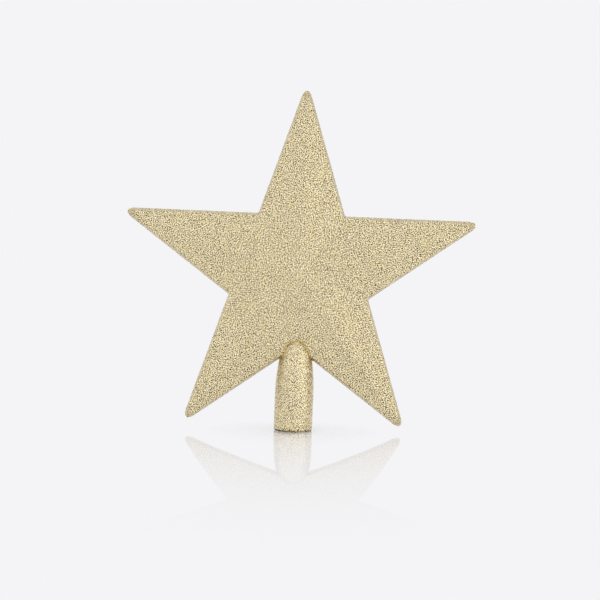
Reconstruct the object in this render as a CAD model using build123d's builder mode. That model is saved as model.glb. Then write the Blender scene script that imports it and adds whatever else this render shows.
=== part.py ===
"""Christmas tree topper star: two moulded half stars closed over a bullet-shaped tree socket.

Millimetres, +Z up. The origin is the centre of the socket's mouth, which the topper stands on.
The star faces -Y, its arms spread along X, and its two halves meet on the XZ plane.
"""

import os
from math import cos, degrees, radians, sin, tan

from build123d import *

# Star outline on the parting plane
arm_count = 5
star_radius = 105.35  # to the sharp corners that the tips are rounded from, 190 over the round
star_height = 86.1  # of the star's middle, above the socket's mouth
tip_radius = 2.6

# Section of each half star, depths measured from the parting plane
rim_depth = 5.0  # to the edge where the side wall turns into the facets
facet_rise = 5.0  # from that edge to the middle of the star
side_draft = radians(14)
edge_radius = 0.9
shell_wall = 1.8

# Lap seam: a lip on the front half sits in a rebate of the back half
lip_thickness = 0.85
lip_setback = 0.1  # from the wall's inner face
lip_reach = 1.5
lip_gap = 0.1

# Posts on the ridges of the front half, with pins that enter bosses of the back half
post_circle = 58.0  # radius about the star's middle
post_radius = 2.8
pin_radius = 1.4
pin_reach = 3.5
pin_gap = 0.1
pin_chamfer = 0.4

# Tree socket, a tube that closes in along an ogive and ends in a round nose inside the star
socket_radius = 10.35
socket_wall = 1.5
shoulder_height = 20.0  # where the straight tube starts to close in
ogive_radius = 119.0
ogive_turn = radians(11.2)  # from the shoulder to the start of the nose
nose_radius = 15.8
nose_turn = radians(50)  # from the shoulder to the flat end of the nose
outer_tapers = (2, 2)  # short tapers that follow the ogive and the nose outside
inner_tapers = (1, 1)
mouth_chamfer = 0.6
bore_chamfer = 0.3
seat_gap = 0.1  # between the socket and the shells that close round it

# Tang above the socket's nose, held by a post of the front half that goes through its eye
tang_width = 9.0
tang_thickness = 3.2
tang_foot = 50.0  # heights above the socket's mouth
eye_height = 68.0
tang_post_radius = 3.5
tang_pin_radius = 1.8

# The star's ten edges lie on five lines, each as far from its middle as the others
half_tip = radians(90 / arm_count)
edge_distance = star_radius * sin(half_tip)
notch_distance = edge_distance / cos(2 * half_tip)
apex_depth = rim_depth + facet_rise
facet_slope = facet_rise / (edge_distance - rim_depth * tan(side_draft))

# Each half star is drawn on its own plane, looking at its face from outside
front_plane = Plane((0, 0, star_height), x_dir=(1, 0, 0), z_dir=(0, -1, 0))
back_plane = Plane((0, 0, star_height), x_dir=(-1, 0, 0), z_dir=(0, 1, 0))

# Places and lengths that the two halves share
inner_edge = shell_wall / cos(side_draft)  # of the side wall, inside the parting outline
lip_inside = inner_edge - lip_setback
lip_outside = lip_inside - lip_thickness
eye_place = (0, eye_height - star_height)
tang_face = tang_thickness / 2  # the posts' shoulders rest on the tang
arm_post_top = apex_depth - facet_slope * post_circle * sin(half_tip) - shell_wall / 2
tang_post_top = apex_depth + facet_slope * eye_place[1] * cos(2 * half_tip) - shell_wall / 2


class StarOutline(BaseSketchObject):
    """Five-pointed star with rounded tips, an even inset inside the parting outline."""

    def __init__(self, inset, mode=Mode.ADD):
        tip_distance = star_radius - inset / sin(half_tip)
        corners = []
        for corner in range(2 * arm_count):
            reach = tip_distance if corner % 2 == 0 else tip_distance * notch_distance / star_radius
            corners.append(Vector(0, reach).rotate(Axis.Z, corner * 180 / arm_count))
        with BuildSketch() as outline:
            with BuildLine():
                Polyline(*corners, close=True)
            make_face()
            tips = outline.vertices().sort_by_distance((0, 0))[-arm_count:]
            fillet(tips, tip_radius - inset)
        super().__init__(outline.sketch, mode=mode)


class BulletProfile(BaseSketchObject):
    """Half section of the socket's bullet shape, grown by an even amount."""

    def __init__(self, growth, tapers, mode=Mode.ADD):
        ogive_centre = Vector(socket_radius - ogive_radius, shoulder_height)
        nose_offset = Vector(ogive_radius - nose_radius, 0).rotate(Axis.Z, degrees(ogive_turn))
        ogive = (ogive_centre, ogive_radius, 0, ogive_turn)
        nose = (ogive_centre + nose_offset, nose_radius, ogive_turn, nose_turn)
        side = [Vector(socket_radius + growth, shoulder_height)]
        for (centre, radius, start, end), steps in zip((ogive, nose), tapers):
            for step in range(1, steps + 1):
                turn = start + (end - start) * step / steps
                side.append(centre + Vector(cos(turn), sin(turn)) * (radius + growth))
        with BuildSketch() as section:
            with BuildLine():
                Polyline((0, side[-1].Y), (0, 0), (side[0].X, 0), *side, close=True)
            make_face()
        super().__init__(section.sketch, mode=mode)


def half_star(inset=0.0, rounding=0.0):
    """Half star on XY, facets up: half an arm cut by its wall and facet, mirrored, then patterned."""
    notch = Vector(0, notch_distance).rotate(Axis.Z, -180 / arm_count)
    lean = Vector(0, 0, sin(side_draft))
    apex = Vector(0, 0, apex_depth)
    with BuildPart() as arm:
        with BuildSketch():
            with BuildLine():
                Polyline((0, 0), notch, (0, star_radius), (-notch.X, notch.Y), close=True)
            make_face()
        extrude(amount=apex_depth)
        for side in (-1, 1):
            outward = Vector(side * cos(half_tip), sin(half_tip))
            side_wall = Plane(outward * edge_distance, z_dir=outward * cos(side_draft) + lean)
            split(bisect_by=side_wall.offset(-inset), keep=Keep.BOTTOM)
        fillet(arm.edges().sort_by(Axis.Y)[-1], tip_radius - inset)
        split(bisect_by=Plane.YZ, keep=Keep.TOP)
        facet = Plane(apex, z_dir=outward * facet_slope + Vector(0, 0, 1))
        split(bisect_by=facet.offset(-inset), keep=Keep.BOTTOM)
        if rounding > 0:
            ridge_valley_rim_tip = arm.faces().sort_by(Axis.Z)[-1].edges().sort_by_distance(apex)
            fillet(ridge_valley_rim_tip[2:], rounding)
        mirror(about=Plane.YZ)
    with BuildPart() as half:
        with PolarLocations(0, arm_count):
            add(arm.part)
    return half.part


outer_half = half_star(rounding=edge_radius)
inner_half = half_star(inset=shell_wall)

# Front half: faceted face, drafted rim, seam lip, and the posts with their pins
with BuildPart(front_plane) as front_shell:
    add(outer_half)
    add(inner_half, mode=Mode.SUBTRACT)
    with BuildSketch(front_plane):
        StarOutline(lip_outside)
        StarOutline(lip_inside, mode=Mode.SUBTRACT)
    extrude(amount=-lip_reach)
    with BuildSketch(front_plane):
        with PolarLocations(post_circle, arm_count, start_angle=90):
            Circle(post_radius)
    extrude(amount=arm_post_top)
    with BuildSketch(front_plane):
        with PolarLocations(post_circle, arm_count, start_angle=90):
            Circle(pin_radius)
    extrude(amount=-pin_reach)
    with BuildSketch(front_plane.offset(tang_face)):
        with Locations(eye_place):
            Circle(tang_post_radius)
    extrude(amount=tang_post_top - tang_face)
    with BuildSketch(front_plane.offset(tang_face)):
        with Locations(eye_place):
            Circle(tang_pin_radius)
    extrude(amount=-tang_thickness - pin_reach)
    round_edges = front_shell.edges().filter_by(GeomType.CIRCLE).group_by(Axis.Y)
    chamfer(round_edges[-2] + round_edges[-1], pin_chamfer)
    with BuildSketch(Plane.XZ):
        BulletProfile(seat_gap, outer_tapers)
    revolve(axis=Axis.Z, mode=Mode.SUBTRACT)
front_shell.part.label = "front_shell"

# Back half: the same outside, with the rebate for the lip and blind bosses for the pins
with BuildPart(back_plane) as back_shell:
    add(outer_half)
    add(inner_half, mode=Mode.SUBTRACT)
    with BuildSketch(back_plane):
        StarOutline(lip_outside - lip_gap)
    extrude(amount=lip_reach + lip_gap, mode=Mode.SUBTRACT)
    with BuildSketch(back_plane.offset(pin_gap)):
        with PolarLocations(post_circle, arm_count, start_angle=90):
            Circle(post_radius)
    extrude(amount=arm_post_top - pin_gap)
    with BuildSketch(back_plane):
        with PolarLocations(post_circle, arm_count, start_angle=90):
            Circle(pin_radius + pin_gap)
    extrude(amount=pin_reach + pin_gap, mode=Mode.SUBTRACT)
    with BuildSketch(back_plane.offset(tang_face)):
        with Locations(eye_place):
            Circle(tang_post_radius)
    extrude(amount=tang_post_top - tang_face)
    with BuildSketch(back_plane):
        with Locations(eye_place):
            Circle(tang_pin_radius + pin_gap)
    extrude(amount=tang_face + pin_reach + pin_gap, mode=Mode.SUBTRACT)
    with BuildSketch(Plane.XZ):
        BulletProfile(seat_gap, outer_tapers)
    revolve(axis=Axis.Z, mode=Mode.SUBTRACT)
back_shell.part.label = "back_shell"

# Tree socket: bullet-shaped tube, open at the mouth, with the tang on its nose
with BuildPart() as tree_socket:
    with BuildSketch(Plane.XZ):
        BulletProfile(0, outer_tapers)
    revolve(axis=Axis.Z)
    with BuildSketch(Plane.XZ):
        with Locations((0, tang_foot)):
            Rectangle(tang_width, eye_height - tang_foot, align=(Align.CENTER, Align.MIN))
        with Locations((0, eye_height)):
            Circle(tang_width / 2)
            Circle(tang_pin_radius + pin_gap, mode=Mode.SUBTRACT)
    extrude(amount=tang_thickness / 2, both=True)
    with BuildSketch(Plane.XZ):
        BulletProfile(-socket_wall, inner_tapers)
    revolve(axis=Axis.Z, mode=Mode.SUBTRACT)
    mouth_edges = tree_socket.edges().group_by(Axis.Z)[0].sort_by(SortBy.RADIUS)
    chamfer(mouth_edges[0], bore_chamfer)
    chamfer(mouth_edges[-1], mouth_chamfer)
tree_socket.part.label = "tree_socket"

os.makedirs("parts", exist_ok=True)
for piece in (front_shell, back_shell, tree_socket):
    export_step(piece.part, f"parts/{piece.part.label}.step")
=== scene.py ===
"""Looks of a tree topper star: champagne-gold glitter over the moulded star and its socket.

Sizes are in millimetres and MM turns them to metres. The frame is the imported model's own: +Z up,
the origin at the centre of the socket's mouth, the star facing -Y.
"""

from math import cos, radians, sin, tan

import bpy
import numpy as np
from mathutils import Matrix, Vector


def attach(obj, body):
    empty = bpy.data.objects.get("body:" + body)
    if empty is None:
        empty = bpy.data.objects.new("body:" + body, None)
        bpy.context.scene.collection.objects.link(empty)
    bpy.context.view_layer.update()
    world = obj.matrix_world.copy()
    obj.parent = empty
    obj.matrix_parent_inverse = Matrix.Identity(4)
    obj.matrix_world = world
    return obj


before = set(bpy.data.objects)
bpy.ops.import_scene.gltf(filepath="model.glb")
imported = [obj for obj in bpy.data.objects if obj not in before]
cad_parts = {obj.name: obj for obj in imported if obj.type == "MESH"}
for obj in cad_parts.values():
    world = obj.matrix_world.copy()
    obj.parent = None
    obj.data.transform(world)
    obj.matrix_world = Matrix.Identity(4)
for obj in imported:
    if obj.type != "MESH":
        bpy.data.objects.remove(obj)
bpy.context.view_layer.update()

MM = 0.001

# The moulded star, as the CAD model has it
ARMS = 5
STAR_RADIUS = 105.35  # to the sharp corners that the tips are rounded from
STAR_HEIGHT = 86.1  # of the star's middle, above the socket's mouth
RIM_DEPTH = 5.0  # from the seam to the edge where the side wall turns into the facets
FACET_RISE = 5.0  # from that edge to the star's middle
SIDE_DRAFT = radians(14)

# The moulded socket
SOCKET_RADIUS = 10.35
SOCKET_WALL = 1.5
SHOULDER_HEIGHT = 20.0  # where the straight tube starts to close in
OGIVE_RADIUS = 119.0
OGIVE_TURN = radians(11.2)  # from the shoulder to the start of the nose
NOSE_RADIUS = 15.8
NOSE_TOP = 51.5  # up to here the glitter coat follows the nose, inside the star
MOTTLE = 4.0  # size of the faint spots in the bare plastic

# Glitter coat: flakes in lacquer, standing a little proud of the mouldings
COAT = 0.2
FLAKE = 0.5  # width of a flake, coarser than real glitter so that single flakes show
FLAKE_SCATTER = 0.2  # how far the flakes' corners are moved before they are drawn onto the surface
FLAKE_TILT = 0.11  # and after that
TILT_ALIGN = 0.4  # how strongly the second move follows the surface's normal
TONE_PUSH = 0.28  # how far a flake's tone is pushed away from its neighbours'
FLAKE_SEED = 11
GRID_TURN = radians(27)  # keeps the rows of flakes out of line with the star's edges
MERGE = 0.01  # corners nearer to each other than this become one

# The star's coat
TIP_ROUND = 8.5  # length of the coat's rounding at each tip, along the edges
TIP_FULLNESS = 0.41  # and its fullness, both fitted to the tips of the moulding
TIP_STEPS = 8
FACING_FRONT = -0.5  # Y of a face's normal: below this on the star's face, above it on its rim
SEAT_CLEAR = 0.6  # this near to the socket the coat isn't drawn onto the shells' hidden edges
PLUG_RINGS = 12
FRONT_SPACE = 3 * STAR_RADIUS  # side of the cube, before the seam, that takes in the star's front

# The socket's coat
SOCKET_SIDES = 72
SOCKET_RINGS = 16
COAT_FOOT = 0.15  # the coat stops this far above the surface that the topper stands on
COAT_SLANT = 1.1  # height of the slanting edge there
COAT_ROOT = 0.85  # how far the coat reaches into the socket's wall
SOCKET_PAINTED_LIGHT = 0.05  # painted light: how much lighter the socket's flakes are than the star's, to make up for the shade on its curved sides

# Lacquer run together, with painted shade, in the crease at the nose; painted shadow at the mouth;
# missing flakes
LACQUER_AND_SHADE_REACH = 2.0  # width of the lacquer and painted crease shade on the star, round the socket's nose
SOCKET_LACQUER_AND_SHADE_REACH = 0.8  # and on the nose
LACQUER_AND_SHADE_DEPTH = (0.25, 0.55)  # least and most lacquer and painted shade in that corner
LACQUER_AND_SHADE_RISE = 0.25  # it thins out over this depth at the star's rim
PAINTED_FOOT_SHADOW = 0.95  # height of the painted contact shadow, a dark edge at the socket's mouth
PIT_HEIGHT = 3.5  # below this, flakes have been knocked off here and there
PIT_SHARE = 0.06  # this share of them

# Camera, matched to the photograph's frame of 600 by 600 pixels
CAMERA_DISTANCE = 770.0
CAMERA_LENS = 84.0
CAMERA_ELEVATION = radians(2.4)
CAMERA_ROLL = radians(2.44)
CAMERA_TARGET = Vector((1.0, 0, 71.92))

# Studio: the floor is a sheet that arches away in front, which shortens the star's reflection
WHITE = "FFFFFF"
PALE_GREY = "F4F4F7"
FLOOR_ARCH = 760.0
FLOOR_SIDES = 720
FLOOR_WIDTH = 5000.0
FLOOR_TILT = radians(1.2)  # up towards the right
FLOOR_DROP = 0.23  # room for the tilt under the socket's mouth
SHADOW_FADE = (12.0, 50.0)  # from the socket outwards, the floor's shadow fades away
SHADOW_LEFT_OUT = 0.3  # of the shadow beside the socket
SHEEN_REACH = 215.0  # from the socket outwards, the floor's mirror image fades away
SHEEN_MOST = 0.58  # share of the mirror image under the socket
# Each lamp: the way towards it, its strength and its spread
LAMPS = {
    "right_lamp": (Vector((0.8, -0.5, 0)), 0.3, radians(35)),
    "left_lamp": (Vector((-0.85, -0.2, 0.5)), 0.12, radians(60)),
    "front_lamp": (Vector((0, -1, 0.4)), 0.27, radians(120)),
}

# The star's ten edges lie on five lines, each as far from its middle as the others
star_middle = Vector((0, 0, STAR_HEIGHT * MM))
half_tip = radians(90 / ARMS)
notch_share = sin(half_tip) / cos(2 * half_tip)
edge_distance = STAR_RADIUS * sin(half_tip)
facet_slope = FACET_RISE / (edge_distance - RIM_DEPTH * tan(SIDE_DRAFT))
random = np.random.default_rng(FLAKE_SEED)


def select_only(piece):
    bpy.ops.object.select_all(action="DESELECT")
    piece.select_set(True)
    bpy.context.view_layer.objects.active = piece


def edit(piece, action="SELECT"):
    """Enters edit mode on a piece's corners, with all or none of them selected."""
    select_only(piece)
    bpy.ops.object.mode_set(mode="EDIT")
    bpy.ops.mesh.select_mode(type="VERT")
    bpy.ops.mesh.select_all(action=action)


def leave_edit():
    bpy.ops.object.mode_set(mode="OBJECT")


def edit_some(piece, chosen):
    """Enters edit mode on a piece's corners, with the chosen ones selected."""
    edit(piece, "DESELECT")
    leave_edit()
    piece.data.vertices.foreach_set("select", chosen)
    bpy.ops.object.mode_set(mode="EDIT")


def apply_modifier(piece, kind, **settings):
    """Adds a modifier with these settings and applies it."""
    select_only(piece)
    modifier = piece.modifiers.new(kind, kind)
    for setting, value in settings.items():
        setattr(modifier, setting, value)
    bpy.ops.object.modifier_apply(modifier=modifier.name)


def bullet_radius(height):
    """Outside radius of the socket at a height: straight, then an ogive, then the round nose."""
    ogive_rise = np.clip(height - SHOULDER_HEIGHT, 0, OGIVE_RADIUS * sin(OGIVE_TURN))
    ogive = SOCKET_RADIUS - OGIVE_RADIUS + np.sqrt(OGIVE_RADIUS**2 - ogive_rise**2)
    swing = OGIVE_RADIUS - NOSE_RADIUS
    nose_rise = np.clip(height - SHOULDER_HEIGHT - swing * sin(OGIVE_TURN), 0, NOSE_RADIUS)
    nose_middle = SOCKET_RADIUS - OGIVE_RADIUS + swing * cos(OGIVE_TURN)
    nose = nose_middle + np.sqrt(NOSE_RADIUS**2 - nose_rise**2)
    return np.where(nose_rise < NOSE_RADIUS * sin(OGIVE_TURN), ogive, nose)


def star_clearance(x, y, z):
    """How far points stand outside the star's faces or, beside it, outside its outline."""
    turns = half_tip + np.arange(ARMS) * 4 * half_tip
    reaches = np.outer(np.cos(turns), x) + np.outer(np.sin(turns), z - STAR_HEIGHT)
    reach = np.sort(reaches, axis=0)[-2]
    face_depth = RIM_DEPTH + FACET_RISE - facet_slope * reach + COAT
    return np.maximum(np.abs(y) - face_depth, reach - edge_distance - COAT)


def stack_rings(name, profile):
    """A turned form, drawn up ring by ring through (radius, height) points."""
    bpy.ops.object.select_all(action="DESELECT")
    radius, height = profile[0]
    bpy.ops.mesh.primitive_circle_add(
        vertices=SOCKET_SIDES,
        radius=radius * MM,
        location=(0, 0, height * MM),
    )
    piece = bpy.context.object
    piece.name = name
    bpy.ops.object.transform_apply()
    edit(piece)
    for next_radius, next_height in profile[1:]:
        rise = (0, 0, (next_height - height) * MM)
        bpy.ops.mesh.extrude_edges_move(TRANSFORM_OT_translate={"value": rise})
        swell = next_radius / radius
        bpy.ops.transform.resize(value=(swell, swell, 1), center_override=(0, 0, next_height * MM))
        radius, height = next_radius, next_height
    leave_edit()
    return piece


def star_blank():
    """Rough outside of the star: outline, drafted rim, and facets raised to the middle."""
    bpy.ops.object.select_all(action="DESELECT")
    bpy.ops.mesh.primitive_circle_add(
        vertices=2 * ARMS,
        radius=STAR_RADIUS * (edge_distance + COAT) / edge_distance * MM,
        fill_type="NGON",
        location=star_middle,
        rotation=(radians(90), 0, 0),
    )
    blank = bpy.context.object
    blank.name = "star_blank"
    bpy.ops.object.transform_apply()
    # Every second corner is drawn in to a notch, and the others are rounded to tips
    edit_some(blank, np.arange(2 * ARMS) % 2 == 1)
    bpy.ops.transform.resize(value=(notch_share,) * 3, center_override=star_middle)
    bpy.ops.mesh.select_all(action="INVERT")
    bpy.ops.mesh.bevel(
        offset=TIP_ROUND * MM,
        profile=TIP_FULLNESS,
        segments=TIP_STEPS,
        affect="VERTICES",
    )
    # The outline is drawn forward as the rim of the front half
    bpy.ops.mesh.select_all(action="SELECT")
    bpy.ops.mesh.delete(type="ONLY_FACE")
    bpy.ops.mesh.select_all(action="SELECT")
    forward = (0, -(RIM_DEPTH + COAT) * MM, 0)
    bpy.ops.mesh.extrude_edges_move(TRANSFORM_OT_translate={"value": forward})
    drawn_in = 1 - RIM_DEPTH * tan(SIDE_DRAFT) / edge_distance
    bpy.ops.transform.resize(value=(drawn_in, 1, drawn_in), center_override=star_middle)
    # The face that closes it is raised in the middle
    bpy.ops.mesh.edge_face_add()
    bpy.ops.mesh.select_all(action="SELECT")
    bpy.ops.mesh.normals_make_consistent(inside=False)
    bpy.ops.mesh.select_mode(type="FACE")
    bpy.ops.mesh.select_all(action="DESELECT")
    leave_edit()
    for face in blank.data.polygons:
        face.select = face.normal.y < FACING_FRONT
    bpy.ops.object.mode_set(mode="EDIT")
    bpy.ops.mesh.poke(offset=FACET_RISE * MM)
    leave_edit()
    apply_modifier(blank, "MIRROR", use_axis=(False, True, False), merge_threshold=MERGE * MM)
    return blank


def socket_plug():
    """Solid bullet, half a wall thinner than the socket, that cuts the star's coat free in it."""
    heights = np.linspace(SHOULDER_HEIGHT, NOSE_TOP, PLUG_RINGS)
    plug = stack_rings("socket_plug", [(bullet_radius(h) - SOCKET_WALL / 2, h) for h in heights])
    edit(plug)
    bpy.ops.mesh.fill_holes(sides=0)
    bpy.ops.mesh.normals_make_consistent(inside=False)
    leave_edit()
    return plug


def places_of(items, field):
    """Places of a mesh's corners or faces, in millimetres, as three rows."""
    places = np.empty(len(items) * 3, np.float32)
    items.foreach_get(field, places)
    return places.reshape(-1, 3).T / MM


def disturb(piece, seam, offset, normal=0.0):
    """Moves the flakes' corners at random, apart from those within a seam about the XZ plane."""
    y = places_of(piece.data.vertices, "co")[1]
    edit_some(piece, np.abs(y) >= seam)
    bpy.ops.transform.vertex_random(offset=offset * MM, normal=normal, seed=FLAKE_SEED)
    leave_edit()


def flake_skin(piece, turn=0.0):
    """Divides a closed form into flake-sized facets, in rows that are turned about Y."""
    edit(piece)
    bpy.ops.transform.rotate(value=turn, orient_axis="Y", center_override=star_middle)
    leave_edit()
    apply_modifier(piece, "REMESH", mode="VOXEL", voxel_size=FLAKE * MM)
    edit(piece)
    bpy.ops.transform.rotate(value=-turn, orient_axis="Y", center_override=star_middle)
    leave_edit()


def flake_tones(mesh):
    """A tone from 0 to 1 for each flake, apart from its neighbours' so that the grain is crisp."""
    flakes = len(mesh.polygons)
    corners = np.empty(flakes, np.int32)
    mesh.polygons.foreach_get("loop_total", corners)
    flake_of = np.repeat(np.arange(flakes), corners)
    edge_of = np.empty(len(mesh.loops), np.int32)
    mesh.loops.foreach_get("edge_index", edge_of)
    tones = random.uniform(-1, 1, flakes)
    both_sides = np.bincount(edge_of, tones[flake_of])
    neighbours = np.bincount(flake_of, both_sides[edge_of] - tones[flake_of])
    order = np.argsort(tones - TONE_PUSH * neighbours)
    tones[order] = np.linspace(0, 1, flakes)
    return tones


def crease_lacquer_and_shade(distance, reach, y):
    """Lacquer run together on each flake, and painted shade of that crease, by its distance from
    the corner at the nose.
    """
    on_facets = np.clip((np.abs(y) - RIM_DEPTH) / LACQUER_AND_SHADE_RISE, 0, 1)
    nearness = np.clip(1 - distance / reach, 0, 1)
    return on_facets * nearness * random.uniform(*LACQUER_AND_SHADE_DEPTH, len(distance))


def paint_flakes(piece, lacquer_pits_and_shade, painted_light=0.0):
    """Gives each flake its tone, lifted by any painted light, and its share of pooled lacquer,
    painted shade and missing flakes.
    """
    for name, values in (("flake", flake_tones(piece.data) + painted_light), ("lacquer_pits_and_shade", lacquer_pits_and_shade)):
        layer = piece.data.attributes.new(name, "FLOAT", "FACE")
        layer.data.foreach_set("value", values.astype(np.float32))


def finish_coat(piece, material):
    apply_modifier(piece, "TRIANGULATE", ngon_method="CLIP")
    piece.data.materials.clear()
    piece.data.materials.append(material)
    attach(piece, "root")


def draw_onto_shells(coat):
    """Draws the star's coat onto the two half shells, except near the seam and the socket."""
    x, y, z = places_of(coat.data.vertices, "co")
    clear = np.hypot(x, y) > bullet_radius(z) + SEAT_CLEAR
    for node, side in (("front_shell", y < -FLAKE), ("back_shell", y > FLAKE)):
        group = coat.vertex_groups.new(name=node)
        group.add(np.flatnonzero(clear & side).tolist(), 1.0, "REPLACE")
        apply_modifier(
            coat,
            "SHRINKWRAP",
            target=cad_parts[node],
            vertex_group=node,
            wrap_mode="ABOVE_SURFACE",
            offset=COAT * MM,
        )
    coat.vertex_groups.clear()


def star_coat(material):
    """Glitter over both half stars, in a front and a back piece that meet on the seam."""
    coat = star_blank()
    plug = socket_plug()
    apply_modifier(coat, "BOOLEAN", object=plug, operation="DIFFERENCE", solver="EXACT")
    bpy.data.objects.remove(plug)
    flake_skin(coat, GRID_TURN)
    disturb(coat, FLAKE, FLAKE_SCATTER)
    draw_onto_shells(coat)
    disturb(coat, FLAKE, FLAKE_TILT, TILT_ALIGN)
    x, y, z = places_of(coat.data.polygons, "center")
    # Lacquer with painted shade in the crease round the socket's nose
    paint_flakes(coat, crease_lacquer_and_shade(np.hypot(x, y) - bullet_radius(z) - COAT, LACQUER_AND_SHADE_REACH, y))
    select_only(coat)
    bpy.ops.object.duplicate()
    back = bpy.context.object
    bpy.ops.mesh.primitive_cube_add(
        size=FRONT_SPACE * MM,
        location=star_middle - Vector((0, FRONT_SPACE / 2 * MM, 0)),
    )
    cutter = bpy.context.object
    halves = {"front_glitter": (coat, "INTERSECT"), "back_glitter": (back, "DIFFERENCE")}
    for name, (piece, share) in halves.items():
        piece.name = name
        apply_modifier(piece, "BOOLEAN", object=cutter, operation=share, solver="MANIFOLD")
        finish_coat(piece, material)
    bpy.data.objects.remove(cutter)


def socket_coat(material):
    """Glitter on the socket's outside, from the mouth's edge up into the star."""
    heights = np.linspace(SHOULDER_HEIGHT, NOSE_TOP, SOCKET_RINGS)
    outside = [(SOCKET_RADIUS - COAT, COAT_FOOT), (SOCKET_RADIUS + COAT, COAT_FOOT + COAT_SLANT)]
    outside += [(bullet_radius(h) + COAT, h) for h in heights]
    inside = [(bullet_radius(h) - COAT_ROOT, h) for h in heights[::-1]]
    inside += [(SOCKET_RADIUS - COAT_ROOT, COAT_FOOT), outside[0]]
    coat = stack_rings("socket_glitter", outside + inside)
    edit(coat)
    bpy.ops.mesh.remove_doubles(threshold=MERGE * MM)
    bpy.ops.mesh.normals_make_consistent(inside=False)
    leave_edit()
    select_only(coat)
    bpy.ops.object.duplicate()
    smooth = bpy.context.object
    flake_skin(coat)
    disturb(coat, 0, FLAKE_SCATTER)
    apply_modifier(coat, "SHRINKWRAP", target=smooth)
    bpy.data.objects.remove(smooth)
    disturb(coat, 0, FLAKE_TILT, TILT_ALIGN)
    x, y, z = places_of(coat.data.polygons, "center")
    # Lacquer with painted shade in the crease where the nose meets the star
    crease = crease_lacquer_and_shade(star_clearance(x, y, z), SOCKET_LACQUER_AND_SHADE_REACH, y)
    pits = (z < PIT_HEIGHT) & (random.uniform(0, 1, len(z)) < PIT_SHARE)
    # Missing flakes, a painted contact shadow at the mouth, and painted light that lifts the
    # socket's flakes
    paint_flakes(coat, np.maximum(crease, pits | (z < PAINTED_FOOT_SHADOW)), SOCKET_PAINTED_LIGHT)
    finish_coat(coat, material)


def linear(code):
    """Linear colour of an sRGB hex value."""
    channels = [int(code[at:at + 2], 16) / 255 for at in (0, 2, 4)]
    return (*[c / 12.92 if c <= 0.04045 else ((c + 0.055) / 1.055) ** 2.4 for c in channels], 1)


def add(tree, kind, inputs=None, colours=None, **settings):
    """Adds a node with its settings. An input is a value, or another node's output to link.

    A ramp's two or three colours are hex values, each under its place on the ramp.
    """
    node = tree.nodes.new(kind)
    for setting, value in settings.items():
        setattr(node, setting, value)
    for socket, value in (inputs or {}).items():
        if isinstance(value, bpy.types.NodeSocket):
            tree.links.new(value, node.inputs[socket])
        else:
            node.inputs[socket].default_value = value
    if colours:
        stops = node.color_ramp.elements
        if len(colours) > len(stops):
            stops.new(0.5)
        for stop, (place, code) in zip(stops, colours.items()):
            stop.position = place
            stop.color = linear(code)
    return node


def new_tree(owner):
    owner.use_nodes = True
    owner.node_tree.nodes.clear()
    return owner.node_tree


def glitter_material():
    """Metallised polyester flakes in lacquer: each has its own tone, from bronze to champagne."""
    material = bpy.data.materials.new("champagne_gold_glitter")
    tree = new_tree(material)
    flake = add(tree, "ShaderNodeAttribute", attribute_name="flake")
    tone = add(
        tree,
        "ShaderNodeValToRGB",
        {"Fac": flake.outputs["Fac"]},
        colours={0.2: "5A4A22", 0.5: "E2D09D", 0.8: "FFF3D0"},
    )
    # Lacquer run together with painted crease shade looks golden; missing flakes and painted mouth
    # shadow look dark
    lacquer_pits_and_shade = add(tree, "ShaderNodeAttribute", attribute_name="lacquer_pits_and_shade")
    tint = add(
        tree,
        "ShaderNodeValToRGB",
        {"Fac": lacquer_pits_and_shade.outputs["Fac"]},
        colours={0.0: WHITE, 0.55: "E2CB87", 0.9: "0E0904"},
    )
    tone_with_lacquer_and_shade = add(
        tree,
        "ShaderNodeMixRGB",
        {"Fac": 1.0, "Color1": tone.outputs["Color"], "Color2": tint.outputs["Color"]},
        blend_type="MULTIPLY",
    )
    surface = add(
        tree,
        "ShaderNodeBsdfPrincipled",
        {"Base Color": tone_with_lacquer_and_shade.outputs["Color"], "Metallic": 1.0, "Roughness": 0.35},
    )
    add(tree, "ShaderNodeOutputMaterial", {"Surface": surface.outputs["BSDF"]})
    return material


def plastic_material():
    """Moulded polystyrene, tinted gold and left bare inside the socket: smooth, faintly mottled."""
    material = bpy.data.materials.new("gold_polystyrene")
    tree = new_tree(material)
    place = add(tree, "ShaderNodeTexCoord")
    mottle = add(
        tree,
        "ShaderNodeTexNoise",
        {"Vector": place.outputs["Object"], "Scale": 1 / (MOTTLE * MM)},
    )
    tone = add(
        tree,
        "ShaderNodeValToRGB",
        {"Fac": mottle.outputs["Fac"]},
        colours={0.0: "B09A62", 1.0: "C4B07A"},
    )
    surface = add(
        tree,
        "ShaderNodeBsdfPrincipled",
        {"Base Color": tone.outputs["Color"], "Roughness": 0.35, "IOR": 1.59},
    )
    add(tree, "ShaderNodeOutputMaterial", {"Surface": surface.outputs["BSDF"]})
    return material


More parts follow.
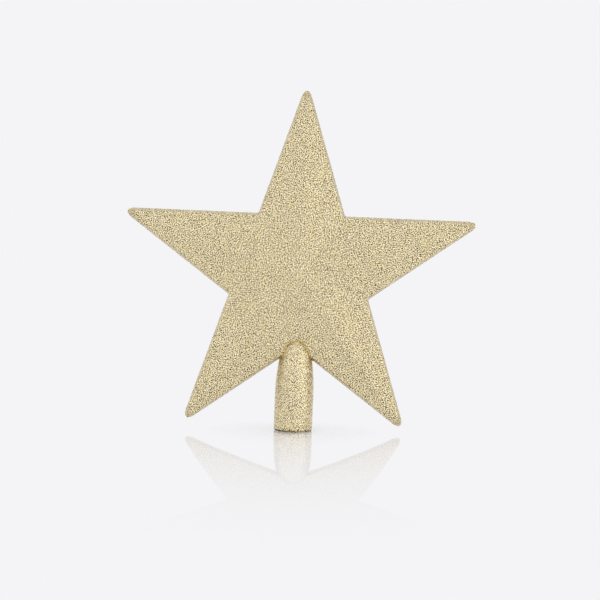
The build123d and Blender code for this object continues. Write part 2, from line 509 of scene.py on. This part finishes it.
def floor_material():
    """Pale acrylic sheet: shows the object's shadow and mirror image near it, plain beyond."""
    material = bpy.data.materials.new("pale_acrylic_floor")
    tree = new_tree(material)
    place = add(tree, "ShaderNodeTexCoord")
    reach = add(tree, "ShaderNodeVectorMath", {0: place.outputs["Object"]}, operation="LENGTH")
    away = reach.outputs["Value"]
    fade = add(
        tree,
        "ShaderNodeMapRange",
        {
            "Value": away,
            "From Min": SHADOW_FADE[0] * MM,
            "From Max": SHADOW_FADE[1] * MM,
            "To Min": SHADOW_LEFT_OUT,
        },
    )
    shaded = add(tree, "ShaderNodeBsdfDiffuse", {"Color": linear(WHITE)})
    plain = add(tree, "ShaderNodeEmission", {"Color": linear(PALE_GREY)})
    matt = add(
        tree,
        "ShaderNodeMixShader",
        {0: fade.outputs["Result"], 1: shaded.outputs[0], 2: plain.outputs[0]},
    )
    nearness = add(
        tree,
        "ShaderNodeMapRange",
        {"Value": away, "From Max": SHEEN_REACH * MM, "To Min": SHEEN_MOST**0.5, "To Max": 0},
    ).outputs["Result"]
    sheen = add(tree, "ShaderNodeMath", {0: nearness, 1: nearness}, operation="MULTIPLY")
    gloss = add(tree, "ShaderNodeBsdfGlossy", {"Color": linear(WHITE), "Roughness": 0.03})
    both = add(
        tree,
        "ShaderNodeMixShader",
        {0: sheen.outputs[0], 1: matt.outputs[0], 2: gloss.outputs[0]},
    )
    add(tree, "ShaderNodeOutputMaterial", {"Surface": both.outputs[0]})
    return material


def studio():
    """Pale floor and backdrop in even light, with weak, soft lamps that leave out the floor."""
    bpy.ops.object.select_all(action="DESELECT")
    bpy.ops.mesh.primitive_cylinder_add(
        vertices=FLOOR_SIDES,
        radius=FLOOR_ARCH * MM,
        depth=FLOOR_WIDTH * MM,
        location=(0, 0, -(FLOOR_ARCH + FLOOR_DROP) * MM),
        rotation=(0, radians(90) - FLOOR_TILT, 0),
    )
    floor = bpy.context.object
    floor.name = "floor"
    bpy.ops.object.transform_apply()
    bpy.ops.object.shade_smooth()
    floor.data.materials.append(floor_material())
    unlit = bpy.data.collections.new("not_lit_by_lamps")
    unlit.objects.link(floor)
    unlit.collection_objects[0].light_linking.link_state = "EXCLUDE"
    for name, (toward, strength, spread) in LAMPS.items():
        bpy.ops.object.light_add(type="SUN", rotation=toward.to_track_quat("Z", "Y").to_euler())
        lamp = bpy.context.object
        lamp.name = name
        lamp.data.energy = strength
        lamp.data.angle = spread
        lamp.light_linking.receiver_collection = unlit
    world = bpy.data.worlds.new("studio")
    bpy.context.scene.world = world
    tree = new_tree(world)
    backdrop = add(tree, "ShaderNodeBackground", {"Color": linear(PALE_GREY)})
    add(tree, "ShaderNodeOutputWorld", {"Surface": backdrop.outputs[0]})
    bpy.context.scene.view_settings.view_transform = "Standard"


def camera():
    """Looks a little down at the star's front, and is slightly rolled, as in the photograph."""
    back = Vector((0, -cos(CAMERA_ELEVATION), sin(CAMERA_ELEVATION)))
    level = Vector((1, 0, 0))
    upright = back.cross(level)
    right = level * cos(CAMERA_ROLL) + upright * sin(CAMERA_ROLL)
    up = upright * cos(CAMERA_ROLL) - level * sin(CAMERA_ROLL)
    bpy.ops.object.camera_add()
    eye = bpy.context.object
    turned = Matrix((right, up, back)).transposed().to_4x4()
    eye.matrix_world = Matrix.Translation((CAMERA_TARGET + back * CAMERA_DISTANCE) * MM) @ turned
    eye.data.lens = CAMERA_LENS
    bpy.context.scene.camera = eye


plastic = plastic_material()
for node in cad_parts.values():
    node.data.materials.clear()
    node.data.materials.append(plastic)
glitter = glitter_material()
star_coat(glitter)
socket_coat(glitter)
studio()
camera()
